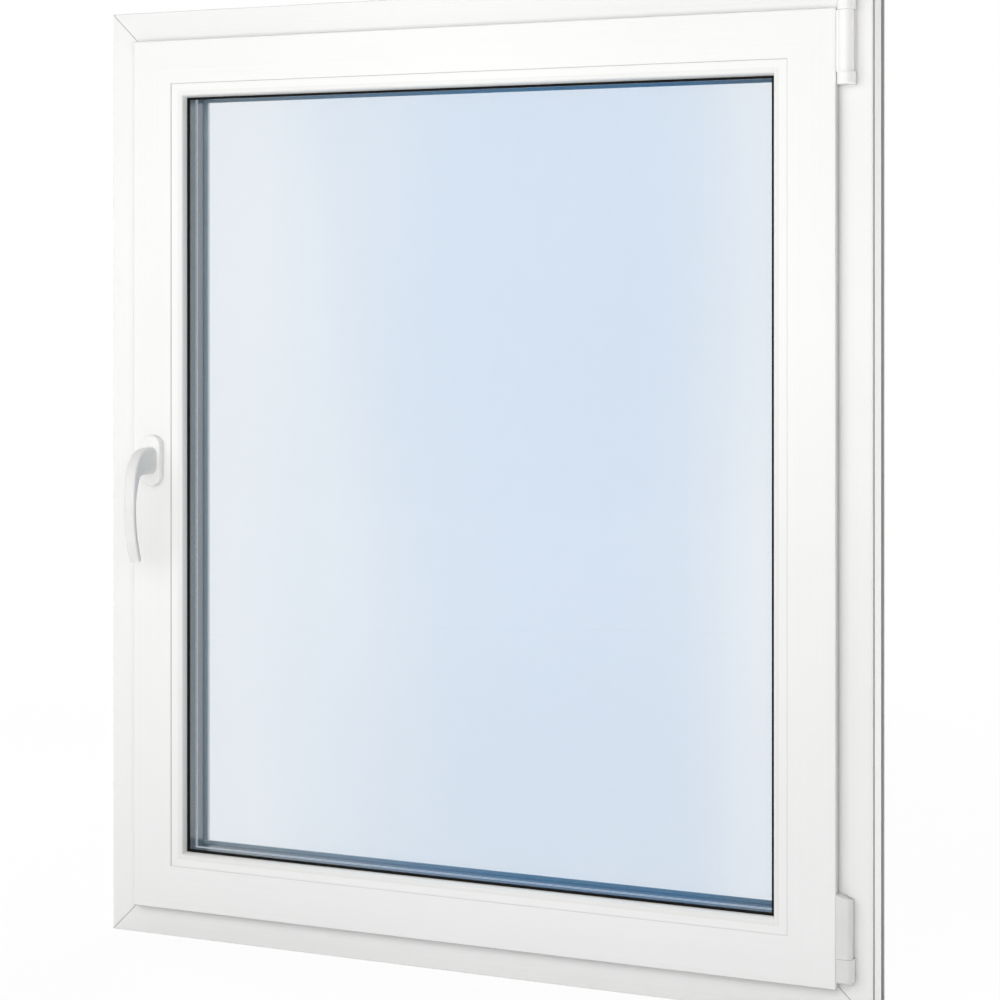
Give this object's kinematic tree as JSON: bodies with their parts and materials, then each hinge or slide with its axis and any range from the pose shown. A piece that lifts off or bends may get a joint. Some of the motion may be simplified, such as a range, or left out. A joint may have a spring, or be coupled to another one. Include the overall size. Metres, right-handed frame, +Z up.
{
  "type": "tilt and turn window",
  "caption": "White plastic single-sash window with mitred frame, triple glass, lever handle on the left and surface hinges on the right, seen from the room.",
  "frame": {"origin": "middle of the sill's underside, halfway through the depth of the frame", "axes": "+X to the right along the wall as seen from the room, towards the hinges; +Y from the room to the weather side; +Z up"},
  "size_m": [1, 0.161, 1.2],
  "materials": {
    "frame": "satin",
    "sash": "satin",
    "bead": "satin",
    "cap": "satin",
    "gasket": "matte",
    "glass": "clear",
    "spacer": "matte",
    "glazing_block": "matte",
    "handle": "satin",
    "hinge": "satin",
    "steel": "brushed"
  },
  "bodies": {
    "window": {"bead_bottom": "bead", "bead_left": "bead", "bead_right": "bead", "bead_top": "bead", "bottom_hinge_frame_pivot": "hinge", "bottom_hinge_pin": "steel", "bottom_hinge_sash_cover": "hinge", "drain_cover_left": "cap", "drain_cover_right": "cap", "frame_head": "frame", "frame_left_jamb": "frame", "frame_right_jamb": "frame", "frame_seal": "gasket", "frame_sill": "frame", "glazing_block_bottom_left": "glazing_block", "glazing_block_bottom_right": "glazing_block", "glazing_block_top_left": "glazing_block", "glazing_block_top_right": "glazing_block", "glazing_gasket_inside": "gasket", "glazing_gasket_outside": "gasket", "handle_rosette": "handle", "pane_inside": "glass", "pane_middle": "glass", "pane_outside": "glass", "sash_bottom_rail": "sash", "sash_handle_stile": "sash", "sash_hinge_stile": "hinge", "sash_seal": "gasket", "sash_top_rail": "sash", "spacer_inside": "spacer", "spacer_outside": "spacer", "top_hinge_frame_bracket": "hinge", "top_hinge_pin": "steel", "top_hinge_sash_knuckle": "hinge"},
    "handle": {"handle_lever": "handle", "handle_spindle": "steel"}
  },
  "joints": [
    {"name": "handle_turn", "type": "hinge", "parent": "window", "child": "handle", "pos_m": [-0.429, -0.053, 0.6185], "axis": [0, -1, 0], "range_deg": [0, 180]}
  ]
}
